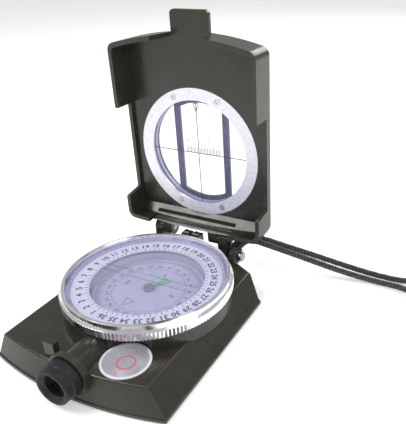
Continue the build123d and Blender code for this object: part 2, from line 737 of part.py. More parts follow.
def shut_bezel_room():
    """What the lid leaves out behind the bezel: the bezel's back as it lies in the shut lid, and the
    bottom wall outside the hinge's round."""
    # the lid shuts by a quarter turn, so a shut height is a depth of the open lid and the reverse
    shut_to_open_z = HINGE_Y + HINGE_Z
    shut_to_open_y = HINGE_Y - HINGE_Z
    front = LID_BACK_Y - LID_DEPTH - 1
    room = None
    for radius, top in ((BEZEL_R, BEZEL_TOP), (KNURL_R, KNURL_TOP)):
        depth = top + SHUT_GAP + shut_to_open_y
        low = (HINGE_WALL_LEFT, front, shut_to_open_z - radius - SHUT_GAP)
        step = block(low, (HINGE_WALL_RIGHT, depth, NOTCH_LOW_Z))
        room = step if room is None else room + step
    wall_low = (HINGE_WALL_LEFT, front, LID_BOTTOM_Z - LID_BOTTOM_BOW - 1)
    wall_high = (HINGE_WALL_RIGHT, HINGE_Y, shut_to_open_z - KNURL_R - SHUT_GAP)
    hinge_round = rod_x(HINGE_WALL_R, -LID_HALF_WIDTH, LID_HALF_WIDTH, HINGE_Y, HINGE_Z)
    return room + (block(wall_low, wall_high) - hinge_round)


def window_cuts():
    """What is cut through the lid's plate and boss for the window, in the window's own frame: the
    ring's recess, the pocket for the glass and its gasket, and the opening between the bars."""
    cuts = disc(RING_R + FIXED_GAP, GLASS_FRONT, LID_PLATE + 1)
    cuts += disc(GLASS_R + FIXED_GAP, BAR_FRONT, LID_PLATE + 1)
    outside = -BOSS_PROUD - 1
    opening = disc(GASKET_INNER_R, outside, BAR_FRONT + 1)
    strip = block((-BAR_OUTER_X, -GLASS_R, outside - 1), (BAR_OUTER_X, GLASS_R, BAR_FRONT))
    middle = block((-BAR_INNER_X, -GLASS_R, outside - 1), (BAR_INNER_X, GLASS_R, BAR_FRONT))
    kept = strip - (middle & disc(WEB_INNER_R, outside - 1, BAR_FRONT))
    return cuts + (opening - kept)


def ring_screw_places():
    for degrees in (RING_SCREW_ANGLE, 180 - RING_SCREW_ANGLE):
        for side in (-1, 1):
            angle = math.radians(degrees) * side
            yield RING_SCREW_PITCH_R * math.cos(angle), RING_SCREW_PITCH_R * math.sin(angle)


def lid_casting():
    front = LID_BACK_Y - LID_DEPTH
    plate_front = LID_BACK_Y - LID_PLATE
    shell = extrude(lid_outline(0, LID_BACK_Y), LID_DEPTH, dir=(0, -1, 0))
    shell = fillet(shell.edges().filter_by(Axis.Y), LID_CORNER_RADIUS)
    shell = shell & above_bevel(0)
    for lug in lid_lugs():
        shell += lug
    cavity = extrude(lid_outline(LID_WALL, plate_front), LID_DEPTH, dir=(0, -1, 0))
    cavity = fillet(cavity.edges().filter_by(Axis.Y), LID_CORNER_RADIUS - LID_WALL)
    shell -= cavity & above_bevel(LID_PLATE)
    shell -= shut_bezel_room()
    # side notches that clear the bezel when the lid is shut
    notch_back = LID_BACK_Y - LID_NOTCH_DEPTH
    notch = Polyline(
        (0, notch_back, NOTCH_LOW_Z),
        (0, notch_back, NOTCH_HIGH_Z),
        (0, front - 1, NOTCH_HIGH_Z),
        (0, front - 1, NOTCH_LOW_Z - 1.5),
        close=True,
    )
    wide = 2 * LID_HALF_WIDTH + 10
    shell -= Pos(-wide / 2, 0, 0) * extrude(make_face(notch), wide, dir=(1, 0, 0))
    # notch in the top wall for the eyepiece, narrower at the plate
    top_notch = Polyline(
        (-TOP_NOTCH_HALF_PLATE, plate_front, 0),
        (TOP_NOTCH_HALF_PLATE, plate_front, 0),
        (TOP_NOTCH_HALF_RIM, front - 1, 0),
        (-TOP_NOTCH_HALF_RIM, front - 1, 0),
        close=True,
    )
    shell -= Pos(0, 0, LID_CORNER_Z - 8) * extrude(make_face(top_notch), 30, dir=(0, 0, 1))
    # thumb tab
    tab_low = LID_CORNER_Z
    tab_high = (THUMB_TAB_HALF, LID_BACK_Y, LID_CORNER_Z + THUMB_TAB_HEIGHT)
    tab = block((-THUMB_TAB_HALF, plate_front, tab_low), tab_high)
    tab = fillet(tab.edges().filter_by(Axis.Y).group_by(Axis.Z)[-1], THUMB_TAB_RADIUS)
    shell += tab
    # round boss on the outside, with the window through it
    shell += at_window(disc(BOSS_R, -BOSS_PROUD, 0.5))
    shell -= at_window(window_cuts())
    for x, z in ring_screw_places():
        shell -= at_window(disc(RING_SCREW_R + FIXED_GAP, -1.6, LID_PLATE, x, z))
    hole_left = HINGE_X - EAR_OUT
    shell -= rod_x(PIN_R + RUNNING_GAP, hole_left, HINGE_X + EAR_OUT, HINGE_Y, HINGE_Z)
    return shell


def window_ring():
    ring = disc(RING_R, LID_PLATE - RING_THICKNESS, LID_PLATE)
    ring -= disc(RING_INNER_R, -5, 5)
    for x, z in ring_screw_places():
        ring -= disc(RING_SCREW_R + FIXED_GAP, -5, 5, x, z)
        ring -= disc(RING_SCREW_HEAD_R + FIXED_GAP, LID_PLATE - RING_SCREW_HEAD, 5, x, z)
    return at_window(ring)


def window_screws():
    screws = []
    for x, z in ring_screw_places():
        screw = disc(RING_SCREW_HEAD_R, LID_PLATE - RING_SCREW_HEAD, LID_PLATE + 0.15, x, z)
        screw += disc(RING_SCREW_R, -1.5, LID_PLATE - RING_SCREW_HEAD, x, z)
        for angle in (30, 120):
            screw -= Pos(x, z, LID_PLATE + 0.15) * Rot(0, 0, angle) * Box(1.6, 0.3, 0.4)
        screws.append(at_window(screw))
    return Compound(screws)


def window_gasket():
    return at_window(tube(GLASS_R, GASKET_INNER_R, BAR_FRONT, GLASS_BACK))


def window_glass():
    return at_window(disc(GLASS_R, GLASS_BACK, GLASS_FRONT))


def sight_reticle():
    """The sighting line and the level line, applied to the inner face of the glass."""
    high = GLASS_FRONT + RETICLE_THICKNESS
    reach = RING_INNER_R - FREE_GAP
    line = RETICLE_LINE / 2
    upright = block((-line, -reach, GLASS_FRONT), (line, reach, high))
    level = block((-reach, -line, GLASS_FRONT), (reach, line, high))
    return at_window(upright + level)


# ---------------------------------------------------------------- lanyard
def lanyard_post():
    left = HINGE_X + EAR_OUT
    shaft_end = left + POST_LENGTH
    post = rod_x(POST_R, left - POST_ROOT, shaft_end, POST_Y, POST_Z)
    head = rod_x(POST_HEAD_R, shaft_end, shaft_end + POST_HEAD, POST_Y, POST_Z)
    head = fillet(head.faces().sort_by(Axis.X)[-1].edges(), POST_HEAD * 0.6)
    return post + head


def lanyard_hitch():
    """The turns of cord round the post, as one ring."""
    left = HINGE_X + EAR_OUT + 0.1
    right = left + HITCH_WIDTH
    ring = rod_x(POST_R + 2 * CORD_R, left, right, POST_Y, POST_Z)
    ring = fillet(ring.edges(), CORD_R * 0.7)
    return ring - rod_x(POST_R + FIXED_GAP, left - 1, right + 1, POST_Y, POST_Z)


def bend_radii(route):
    """The radius of each bend: 0.45 of its shorter run, over the tangent of half the turn."""
    points = [Vector(*p) for p in route]
    radii = []
    for before, here, after in zip(points, points[1:], points[2:]):
        first, second = here - before, after - here
        half_turn = math.radians(first.get_angle(second)) / 2
        radii.append(0.45 * min(first.length, second.length) / math.tan(half_turn))
    return radii


def strand(route, name):
    """A plain round strand: straight runs joined by tangent arcs."""
    radii = bend_radii(route)
    path = FilletPolyline(*route, radius=radii)
    start = path @ 0
    section = Plane(origin=start, z_dir=path % 0) * Circle(CORD_R)
    solid = sweep(section, path=path)
    share = solid.volume / (math.pi * CORD_R**2 * path.length)
    print(f"{name}: length {path.length:.1f} mm, volume over section x length {share:.4f}")
    print(f"{name}: bend radii {[round(r, 1) for r in radii]}")
    return solid


def lanyard_coil():
    """The outer shape of the wound-up part of the lanyard, lying flat."""
    width = COIL_ROW * 2 * CORD_R
    height = COIL_ROWS * 2 * CORD_R
    profile = Pos(COIL_MEAN_R, 0, 0) * RectangleRounded(width, height, CORD_R * 0.95)
    ring = revolve(Plane.XZ * profile, Axis.Z, 360)
    ring = Pos(*COIL_CENTRE, height / 2 + 0.02) * ring
    length = 2 * math.pi * COIL_MEAN_R * COIL_TURNS
    cord_volume = length * math.pi * CORD_R**2
    print(f"coil: {length:.0f} mm of cord, solid {ring.volume:.0f} mm3, cord {cord_volume:.0f} mm3")
    return ring


# ---------------------------------------------------------------- all the nodes
def build():
    makers = [
        base_casting,
        base_plate,
        base_plate_screws,
        capsule_cup,
        capsule_gasket,
        capsule_window,
        pivot_pin,
        compass_card,
        card_hub,
        card_magnet,
        luminous_arrow,
        bezel_ring,
        bezel_dial,
        crystal_gasket,
        bezel_crystal,
        bezel_snap_ring,
        bezel_friction_ring,
        level_cup,
        level_liquid,
        level_bubble,
        level_lens,
        eyepiece_sleeve,
        lens_cell,
        eye_lens,
        eyecup,
        reading_prism,
        prism_clip,
        hinge_pins,
        hinge_washers,
        lid_casting,
        window_ring,
        window_screws,
        window_gasket,
        window_glass,
        sight_reticle,
        lanyard_post,
        lanyard_hitch,
        lanyard_coil,
    ]
    for maker in makers:
        parts[maker.__name__] = maker()
    parts["lanyard_strand_back"] = strand(STRAND_BACK_ROUTE, "back strand")
    parts["lanyard_strand_front"] = strand(STRAND_FRONT_ROUTE, "front strand")


build()
os.makedirs("parts", exist_ok=True)
for name, solid in parts.items():
    export_step(solid, f"parts/{name}.step")
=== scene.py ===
"""The looks of a sighting compass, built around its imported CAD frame.

Everything is in metres in the CAD frame. MM turns millimetres into metres.
"""

import json
import math

import bmesh
import bpy
from mathutils import Matrix, Vector


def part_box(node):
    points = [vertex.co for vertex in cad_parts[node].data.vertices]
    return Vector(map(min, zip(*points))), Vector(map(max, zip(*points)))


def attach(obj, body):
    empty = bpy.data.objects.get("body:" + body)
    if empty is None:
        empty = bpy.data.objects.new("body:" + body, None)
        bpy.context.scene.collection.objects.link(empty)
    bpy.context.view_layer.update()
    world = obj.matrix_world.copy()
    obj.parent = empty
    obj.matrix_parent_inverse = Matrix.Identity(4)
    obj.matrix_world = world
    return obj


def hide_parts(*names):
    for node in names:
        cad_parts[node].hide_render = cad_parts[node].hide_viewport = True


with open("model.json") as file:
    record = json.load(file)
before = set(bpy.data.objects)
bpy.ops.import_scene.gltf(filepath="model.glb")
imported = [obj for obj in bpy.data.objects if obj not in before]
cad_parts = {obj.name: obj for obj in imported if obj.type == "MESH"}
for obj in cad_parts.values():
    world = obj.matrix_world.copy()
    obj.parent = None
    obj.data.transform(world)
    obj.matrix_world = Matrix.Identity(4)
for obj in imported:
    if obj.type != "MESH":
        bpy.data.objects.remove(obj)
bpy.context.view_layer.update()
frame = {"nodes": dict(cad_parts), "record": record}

MM = 0.001
CAMERA_PLACE = (0.1016, -0.1229, 0.1183)
CAMERA_ANGLES = (math.radians(27.724), math.radians(26.394), math.radians(-1.868))


# ---------------------------------------------------------------- places from the frame
def middle(node):
    low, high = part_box(node)
    return (low + high) / 2


def add_camera():
    """A lens to the object's right front, high, with the frame's middle a little off its axis."""
    azimuth, elevation, roll = CAMERA_ANGLES
    back = Vector(
        (
            math.sin(azimuth) * math.cos(elevation),
            -math.cos(azimuth) * math.cos(elevation),
            math.sin(elevation),
        )
    )
    right = Vector((math.cos(azimuth), math.sin(azimuth), 0))
    up = back.cross(right)
    turned_right = right * math.cos(roll) + up * math.sin(roll)
    turned_up = up * math.cos(roll) - right * math.sin(roll)
    data = bpy.data.cameras.new("camera")
    data.sensor_width = 36
    data.lens = 46.52
    data.shift_x = -0.0927
    data.shift_y = -0.0053
    data.clip_start = 0.01
    camera = bpy.data.objects.new("camera", data)
    rotation = Matrix((turned_right, turned_up, back)).transposed()
    camera.matrix_world = Matrix.Translation(CAMERA_PLACE) @ rotation.to_4x4()
    bpy.context.collection.objects.link(camera)
    bpy.context.scene.camera = camera


# ---------------------------------------------------------------- material helpers
class Nodes:
    """A short way to write a material's node tree."""

    def __init__(self, name, **shader):
        self.material = bpy.data.materials.new(name)
        self.material.use_nodes = True
        self.tree = self.material.node_tree
        self.shader = self.tree.nodes["Principled BSDF"]
        for key, value in shader.items():
            self.shader.inputs[key.replace("_", " ")].default_value = value
        self.local = self.add("ShaderNodeTexCoord").outputs["Object"]

    def add(self, kind, inputs=None, **settings):
        node = self.tree.nodes.new(kind)
        for key, value in settings.items():
            setattr(node, key, value)
        for key, value in (inputs or {}).items():
            if isinstance(value, bpy.types.NodeSocket):
                self.tree.links.new(value, node.inputs[key])
            else:
                node.inputs[key].default_value = value
        return node

    def math(self, operation, a, b=0.0, c=0.0):
        node = self.add("ShaderNodeMath", {0: a, 1: b, 2: c}, operation=operation)
        return node.outputs[0]

    def noise(self, scale, detail=3.0, roughness=0.5, vector=None):
        values = {"Scale": scale, "Detail": detail, "Roughness": roughness}
        values["Vector"] = vector or self.local
        return self.add("ShaderNodeTexNoise", values).outputs["Fac"]

    def ramp(self, factor, stops):
        """A colour ramp. stops are (place, colour or grey)."""
        node = self.add("ShaderNodeValToRGB", {"Fac": factor})
        elements = node.color_ramp.elements
        while len(elements) < len(stops):
            elements.new(0.5)
        for element, (place, colour) in zip(elements, stops):
            element.position = place
            grey = isinstance(colour, (int, float))
            element.color = (colour, colour, colour, 1) if grey else colour
        return node.outputs["Color"]

    def mix(self, factor, a, b):
        values = {"Factor": factor, 6: a, 7: b}
        node = self.tree.nodes.new("ShaderNodeMix")
        node.data_type = "RGBA"
        for key, value in values.items():
            if isinstance(value, bpy.types.NodeSocket):
                self.tree.links.new(value, node.inputs[0 if key == "Factor" else key])
            else:
                node.inputs[0 if key == "Factor" else key].default_value = value
        return node.outputs[2]

    def set(self, socket, value):
        self.tree.links.new(value, self.shader.inputs[socket])

    def bump(self, height, distance, strength=1.0):
        values = {"Height": height, "Distance": distance, "Strength": strength}
        self.set("Normal", self.add("ShaderNodeBump", values).outputs["Normal"])

    def edge_wear(self, size, low=0.02, high=0.12):
        """1 on convex edges: where the bevelled normal leaves the real one."""
        bevel = self.add("ShaderNodeBevel", {"Radius": size}, samples=4).outputs["Normal"]
        normal = self.add("ShaderNodeNewGeometry").outputs["Normal"]
        dot = self.add("ShaderNodeVectorMath", {0: bevel, 1: normal}, operation="DOT_PRODUCT")
        turned = self.math("SUBTRACT", 1.0, dot.outputs["Value"])
        spread = self.add("ShaderNodeMapRange", {"Value": turned, "From Min": low, "From Max": high})
        return spread.outputs["Result"]


# ---------------------------------------------------------------- materials
def case_paint(name="case_paint", tone_and_shade=1.0):
    """Semi-gloss olive paint over a die casting: fine orange peel, faint blotches, worn edges."""
    n = Nodes(name, Roughness=0.26, Specular_IOR_Level=0.5)
    blotch = n.noise(60, 4)
    # A factor below 1 darkens the whole paint: painted shade, as on plate_paint.
    dark = (0.020 * tone_and_shade, 0.019 * tone_and_shade, 0.012 * tone_and_shade, 1)
    light = (0.032 * tone_and_shade, 0.030 * tone_and_shade, 0.020 * tone_and_shade, 1)
    paint = n.ramp(blotch, [(0.3, dark), (0.7, light)])
    wear = n.math("MULTIPLY", n.edge_wear(0.35 * MM), n.noise(700, 3))
    colour = n.mix(n.math("MULTIPLY", wear, 0.55), paint, (0.16, 0.16, 0.13, 1))
    n.set("Base Color", colour)
    n.set("Roughness", n.ramp(n.noise(240, 5), [(0.3, 0.20), (0.75, 0.33)]))
    peel = n.math("ADD", n.noise(1500, 2), n.math("MULTIPLY", n.noise(420, 2), 1.4))
    n.bump(peel, 0.022 * MM, 0.4)
    return n.material


def bright_aluminium():
    """Polished, turned aluminium: fine rings about the bezel's axis."""
    n = Nodes("bright_aluminium", Metallic=1.0, Roughness=0.16)
    n.set("Base Color", n.ramp(n.noise(160, 3), [(0.3, (0.80, 0.80, 0.83, 1)), (0.7, (0.92, 0.92, 0.95, 1))]))
    rings = n.add("ShaderNodeTexWave", {"Scale": 900, "Distortion": 1.5, "Vector": n.local})
    rings.wave_type = "RINGS"
    rings.rings_direction = "Z"
    n.set("Roughness", n.ramp(n.noise(300, 4), [(0.25, 0.12), (0.75, 0.26)]))
    n.bump(rings.outputs["Fac"], 0.004 * MM, 0.35)
    return n.material


def blasted_aluminium():
    """Pale aluminium with a fine blasted grain."""
    n = Nodes("satin_aluminium", Metallic=0.75, Roughness=0.42)
    grains = [(0.3, (0.70, 0.70, 0.77, 1)), (0.7, (0.93, 0.93, 0.97, 1))]
    n.set("Base Color", n.ramp(n.noise(1800, 4), grains))
    n.set("Roughness", n.ramp(n.noise(900, 4), [(0.25, 0.34), (0.75, 0.52)]))
    n.bump(n.noise(4200, 3), 0.02 * MM, 0.4)
    return n.material


def steel(name="steel", colour=(0.44, 0.45, 0.50), rough=0.3):
    n = Nodes(name, Metallic=1.0, Roughness=rough)
    low = tuple(c * 0.82 for c in colour) + (1,)
    n.set("Base Color", n.ramp(n.noise(500, 4), [(0.3, low), (0.7, colour + (1,))]))
    n.set("Roughness", n.ramp(n.noise(900, 4), [(0.25, rough * 0.75), (0.75, rough * 1.3)]))
    n.bump(n.noise(2200, 2), 0.008 * MM, 0.4)
    return n.material


def matt_black(name="black_metal", rough=0.5):
    n = Nodes(name, Roughness=rough)
    blacks = [(0.3, (0.009, 0.009, 0.013, 1)), (0.7, (0.018, 0.018, 0.025, 1))]
    n.set("Base Color", n.ramp(n.noise(400, 4), blacks))
    n.set("Roughness", n.ramp(n.noise(700, 4), [(0.25, rough * 0.8), (0.75, rough * 1.2)]))
    n.bump(n.noise(2400, 3), 0.02 * MM, 0.5)
    return n.material


def rubber():
    """Soft black rubber with a faint bloom and dust."""
    n = Nodes("rubber", Roughness=0.55)
    bloom = n.ramp(n.noise(300, 6, 0.65), [(0.4, (0.004, 0.004, 0.006, 1)), (0.8, (0.011, 0.010, 0.016, 1))])
    wear = n.math("MULTIPLY", n.edge_wear(0.3 * MM), 0.5)
    n.set("Base Color", n.mix(wear, bloom, (0.025, 0.024, 0.034, 1)))
    n.set("Roughness", n.ramp(n.noise(900, 3), [(0.3, 0.45), (0.7, 0.68)]))
    n.bump(n.noise(1700, 4), 0.04 * MM, 0.5)
    return n.material


def white_plastic(name="white_plastic", colour=(0.80, 0.80, 0.88), rough=0.35):
    n = Nodes(name, Roughness=rough, Subsurface_Weight=0.15, Subsurface_Scale=0.5 * MM)
    low = tuple(c * 0.95 for c in colour) + (1,)
    n.set("Base Color", n.ramp(n.noise(200, 4), [(0.3, low), (0.7, colour + (1,))]))
    n.set("Roughness", n.ramp(n.noise(500, 3), [(0.3, rough * 0.85), (0.7, rough * 1.15)]))
    n.bump(n.noise(1500, 3), 0.01 * MM, 0.4)
    return n.material


def clear(name="glass", tint_and_reflection=(0.95, 0.96, 1.0), alpha=0.16, rough=0.03):
    """Clear glass or plastic as a thin, mostly see-through gloss layer."""
    n = Nodes(name, Roughness=rough, Alpha=alpha)
    low = tuple(c * 0.96 for c in tint_and_reflection) + (1,)
    n.set("Base Color", n.ramp(n.noise(90, 3), [(0.3, low), (0.7, tint_and_reflection + (1,))]))
    n.set("Roughness", n.ramp(n.noise(120, 5), [(0.35, rough), (0.75, rough * 2.5)]))
    n.bump(n.noise(60, 2), 0.003 * MM, 0.3)
    return n.material


def seal():
    n = Nodes("seal", Roughness=0.6)
    n.set("Base Color", n.ramp(n.noise(350, 4), [(0.3, (0.50, 0.48, 0.62, 1)), (0.7, (0.60, 0.58, 0.74, 1))]))
    n.bump(n.noise(1500, 3), 0.02 * MM, 0.4)
    return n.material


def ink(name="print_black", colour=(0.012, 0.012, 0.02)):
    """Printed ink, slightly uneven in strength."""
    n = Nodes(name, Roughness=0.5)
    thin = tuple(c * 1.9 + 0.004 for c in colour) + (1,)
    n.set("Base Color", n.ramp(n.noise(1300, 4), [(0.35, colour + (1,)), (0.8, thin)]))
    n.bump(n.noise(1900, 2), 0.004 * MM, 0.4)
    return n.material


def luminous():
    n = Nodes("luminous", Roughness=0.5)
    n.set("Base Color", n.ramp(n.noise(900, 4), [(0.3, (0.04, 0.40, 0.10, 1)), (0.7, (0.08, 0.55, 0.16, 1))]))
    n.bump(n.noise(2500, 3), 0.02 * MM, 0.5)
    return n.material


def braid_material():
    """Black cord: the strands carry a colour from near black to olive that rises with their height, so the
    crests are lighter and the valleys darker; this is partly the cord's own flecks, partly painted highlight
    on the crests and painted shade in the valleys. Fine fibres run along it.
    """
    n = Nodes("cord", Roughness=0.62, Sheen_Weight=0.25)
    along = n.add("ShaderNodeUVMap").outputs["UV"]
    tone_and_shade = n.add("ShaderNodeAttribute", attribute_name="strand").outputs["Fac"]
    fibre = n.noise(60, 3, vector=along)
    # Near black in the valleys to olive on the crests: the cord's flecks together with painted shade and
    # painted highlight.
    strands = n.ramp(tone_and_shade, [(0.45, (0.010, 0.011, 0.010, 1)), (0.90, (0.26, 0.265, 0.19, 1))])
    n.set("Base Color", n.mix(n.math("MULTIPLY", fibre, 0.35), strands, (0.022, 0.022, 0.030, 1)))
    n.set("Roughness", n.ramp(n.noise(900, 3), [(0.3, 0.5), (0.7, 0.75)]))
    n.bump(n.noise(2500, 3), 0.03 * MM, 0.6)
    return n.material


def floor_material():
    n = Nodes("floor", Roughness=0.9, Specular_IOR_Level=0.1, Emission_Strength=0.30)
    n.shader.inputs["Emission Color"].default_value = (1, 1, 1, 1)
    n.set("Base Color", n.ramp(n.noise(3, 2), [(0.3, (0.93, 0.93, 0.93, 1)), (0.7, (0.95, 0.95, 0.95, 1))]))
    return n.material


# ---------------------------------------------------------------- mesh helpers
def new_object(name, mesh, material, body):
    obj = bpy.data.objects.new(name, mesh)
    bpy.context.collection.objects.link(obj)
    obj.data.materials.append(material)
    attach(obj, body)
    return obj


def mesh_of(name, vertices, faces, smooth=False):
    mesh = bpy.data.meshes.new(name)
    mesh.from_pydata([tuple(v) for v in vertices], [], faces)
    mesh.update()
    if smooth:
        mesh.shade_smooth()
    return mesh


class Marks:
    """Printed marks as thin raised shapes on one flat face, gathered into one mesh.

    Points are millimetres in the face's own two axes; to_frame puts them in the CAD frame.
    """

    def __init__(self, to_frame, thickness=0.03):
        self.to_frame = to_frame
        self.thickness = thickness
        self.vertices = []
        self.faces = []

    def outline(self, points):
        """A flat shape with a raised top and side walls."""
        start = len(self.vertices)
        count = len(points)
        for height in (0.0, self.thickness):
            self.vertices += [self.to_frame @ Vector((x, y, height)) * MM for x, y in points]
        self.faces.append([start + count + i for i in range(count)])
        self.faces.append([start + i for i in reversed(range(count))])
        for i in range(count):
            j = (i + 1) % count
            self.faces.append([start + i, start + j, start + count + j, start + count + i])

    def line(self, a, b, width):
        a, b = Vector(a), Vector(b)
        along = (b - a).normalized()
        side = Vector((-along.y, along.x)) * width / 2
        self.outline([a + side, a - side, b - side, b + side])

    def radial(self, angle, inner, outer, width):
        direction = Vector((math.cos(angle), math.sin(angle)))
        self.line(direction * inner, direction * outer, width)

    def ring(self, centre, radius, width, steps=72, start=0.0, end=2 * math.pi):
        """A closed ring, or an arc, as short pieces."""
        for i in range(steps):
            a = start + (end - start) * i / steps
            b = start + (end - start) * (i + 1) / steps
            corners = []
            for angle, r in ((a, radius), (a, radius + width), (b, radius + width), (b, radius)):
                corners.append((centre[0] + r * math.cos(angle), centre[1] + r * math.sin(angle)))
            self.outline(corners[::-1])

    def text(self, words, centre, size, angle):
        """Plain text with its middle at centre, its top towards angle."""
        curve = bpy.data.curves.new("words", "FONT")
        curve.body = words
        curve.size = size
        curve.align_x = "CENTER"
        curve.align_y = "CENTER"
        curve.extrude = self.thickness / 2
        curve.resolution_u = 2
        curve.offset = size * 0.024
        holder = bpy.data.objects.new("words", curve)
        bpy.context.collection.objects.link(holder)
        bpy.context.view_layer.update()
        mesh = bpy.data.meshes.new_from_object(holder)
        turn = Matrix.Rotation(angle - math.pi / 2, 4, "Z")
        start = len(self.vertices)
        for vertex in mesh.vertices:
            point = turn @ vertex.co + Vector((centre[0], centre[1], self.thickness / 2))
            self.vertices.append(self.to_frame @ point * MM)
        for polygon in mesh.polygons:
            self.faces.append([start + i for i in polygon.vertices])
        bpy.data.objects.remove(holder)
        bpy.data.meshes.remove(mesh)
        bpy.data.curves.remove(curve)

    def build(self, name, material, body, slot):
        vertices = [Vector(v) for v in self.vertices]
        return new_object(name, mesh_of(name, vertices, self.faces), material, body)


def level_face(z, x=0.0, y=0.0):
    """From a level face's own axes, in millimetres, to the frame, in millimetres."""
    return Matrix.Translation((x / MM, y / MM, z / MM))


# ---------------------------------------------------------------- lanyard
CORD_R = 1.15 * MM
STRAND_BACK = [
    (14.35, 34.6, 13.3),
    (15.6, 37.2, 15.9),
    (19.6, 39.6, 16.9),
    (25.0, 41.3, 15.6),
    (31.2, 44.6, 12.6),
    (40.0, 49.8, 8.2),
    (50.8, 53.4, 4.4),
    (63.5, 55.3, 1.8),
    (77.0, 56.3, 1.2),
    (91.6, 67.4, 1.2),
]
STRAND_FRONT = [
    (16.7, 34.6, 13.3),
    (18.0, 36.4, 15.6),
    (21.6, 37.3, 16.6),
    (26.8, 38.3, 15.3),
    (33.0, 41.5, 12.2),
    (41.8, 45.5, 8.2),
    (52.3, 48.7, 4.4),
    (64.5, 51.0, 1.8),
    (78.0, 51.5, 1.6),
    (90.6, 40.6, 3.3),
]
COIL_TURN_POINTS = 16
COIL_INWARD_TURNS = 4.3
COIL_TURNS = 9.7


def coil_points():
    """Each turn lies beside the one before: inward on the table, up at the middle, and outward again."""
    centre = middle("lanyard_coil")
    low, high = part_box("lanyard_coil")
    pitch = 2 * CORD_R
    outer = (high.x - low.x) / 2 - CORD_R
    first = math.atan2(STRAND_BACK[-1][1] * MM - centre.y, STRAND_BACK[-1][0] * MM - centre.x)
    floor = STRAND_BACK[-1][2] * MM
    places = []
    for i in range(int(COIL_TURNS * COIL_TURN_POINTS) + 1):
        turns = i / COIL_TURN_POINTS
        before = places[i - COIL_TURN_POINTS] if i >= COIL_TURN_POINTS else None
        if before is None:
            radius, z = outer - pitch * turns, floor
        elif turns < COIL_INWARD_TURNS:
            radius, z = before[0] - pitch, floor
        elif turns < COIL_INWARD_TURNS + 1:
            rise = (turns - COIL_INWARD_TURNS) * math.pi / 2
            radius = before[0] - pitch * math.cos(rise)
            z = floor + pitch * math.sin(rise)
        else:
            z = floor + pitch
            radius = before[0] + math.sqrt(pitch**2 - (z - before[1]) ** 2)
        places.append((radius, z))
    points = []
    for i, (radius, z) in enumerate(places[1:], 1):
        angle = first - 2 * math.pi * i / COIL_TURN_POINTS
        points.append(Vector((centre.x + radius * math.cos(angle), centre.y + radius * math.sin(angle), z)))
    return points


def route_line(name, points, fineness=10):
    """The smooth line of a route: a NURBS spline with the route's points as its control points."""
    curve = bpy.data.curves.new(name, "CURVE")
    curve.dimensions = "3D"
    spline = curve.splines.new("NURBS")
    spline.points.add(len(points) - 1)
    for place, point in zip(spline.points, points):
        place.co = (*point, 1)
    spline.order_u = 3
    spline.use_endpoint_u = True
    spline.resolution_u = fineness
    holder = bpy.data.objects.new(name, curve)
    bpy.context.collection.objects.link(holder)
    bpy.context.view_layer.update()
    mesh = bpy.data.meshes.new_from_object(holder)
    line = [v.co.copy() for v in mesh.vertices]
    bpy.data.objects.remove(holder)
    bpy.data.meshes.remove(mesh)
    bpy.data.curves.remove(curve)
    return line


def evenly(line, step):
    """The same line with its points a step apart."""
    places = [line[0]]
    left = step
    for a, b in zip(line, line[1:]):
        length = (b - a).length
        while length > left:
            a = a.lerp(b, left / length)
            length -= left
            places.append(a.copy())
            left = step
        left -= length
    places.append(line[-1])
    return places


def braided_tube(name, line, radius, sides=20, carriers=6, lay=4.2 * MM):
    """A tube whose skin is braided: carriers wind both ways and pass over and under each other."""
    step = 0.42 * MM
    places = evenly(line, step)
    mesh = bpy.data.meshes.new(name)
    build = bmesh.new()
    uv = build.loops.layers.uv.new("UVMap")
    tone_and_shade = build.verts.layers.float.new("strand")
    normal = None
    rows = []
    for i, place in enumerate(places):
        ahead = places[min(i + 1, len(places) - 1)] - places[max(i - 1, 0)]
        along = ahead.normalized()
        if normal is None:
            normal = along.orthogonal().normalized()
        normal = (normal - along * normal.dot(along)).normalized()
        side = along.cross(normal)
        row = []
        for k in range(sides):
            turn = 2 * math.pi * k / sides
            wind = 2 * math.pi * i * step / lay
            one = math.cos(carriers * (turn - wind) / 2) ** 2
            two = math.cos(carriers * (turn + wind) / 2) ** 2
            over = 0.5 + 0.5 * math.cos(carriers * turn / 2) * math.cos(carriers * wind / 2)
            height = max(one * over, two * (1 - over))
            skin = radius * (0.87 + 0.15 * height)
            vertex = build.verts.new(place + (normal * math.cos(turn) + side * math.sin(turn)) * skin)
            # The colour follows the skin's height: lighter crests are painted highlight, darker valleys
            # between strands are painted shade, and the carriers winding one way stay darker than the other.
            vertex[tone_and_shade] = 0.15 + 0.85 * height if one * over > two * (1 - over) else 0.7 * height
            row.append(vertex)
        rows.append(row)
    for i, (row, after) in enumerate(zip(rows, rows[1:])):
        for k in range(sides):
            j = (k + 1) % sides
            face = build.faces.new((row[k], row[j], after[j], after[k]))
            face.smooth = True
            corners = ((k, i), (k + 1, i), (k + 1, i + 1), (k, i + 1))
            for loop, (u, v) in zip(face.loops, corners):
                loop[uv].uv = (u / sides, v * step / lay)
    build.faces.new(rows[0][::-1])
    build.faces.new(rows[-1])
    build.to_mesh(mesh)
    build.free()
    return mesh


def add_lanyard(material):
    back = [Vector(p) * MM for p in STRAND_BACK]
    front = [Vector(p) * MM for p in STRAND_FRONT]
    line = route_line("lanyard_route", back + coil_points() + front[::-1])
    cord = new_object("lanyard_cord", braided_tube("lanyard_cord", line, CORD_R), material, "base")
    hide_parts("lanyard_strand_back", "lanyard_strand_front", "lanyard_coil")
    hitch = add_hitch(material)


def add_hitch(material):
    """The turns of cord round the post."""
    low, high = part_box("lanyard_hitch")
    centre = (low + high) / 2
    wind = (high.y - low.y) / 2 - CORD_R
    points = []
    turns = 2.2
    for i in range(int(turns * 12) + 1):
        angle = math.radians(80) + 2 * math.pi * i / 12
        x = low.x + CORD_R + (high.x - low.x - 2 * CORD_R) * i / (turns * 12)
        points.append(Vector((x, centre.y + wind * math.cos(angle), centre.z + wind * math.sin(angle))))
    line = route_line("hitch_route", points)
    hitch = new_object("lanyard_hitch_turns", braided_tube("hitch", line, CORD_R), material, "base")
    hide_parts("lanyard_hitch")
    return hitch


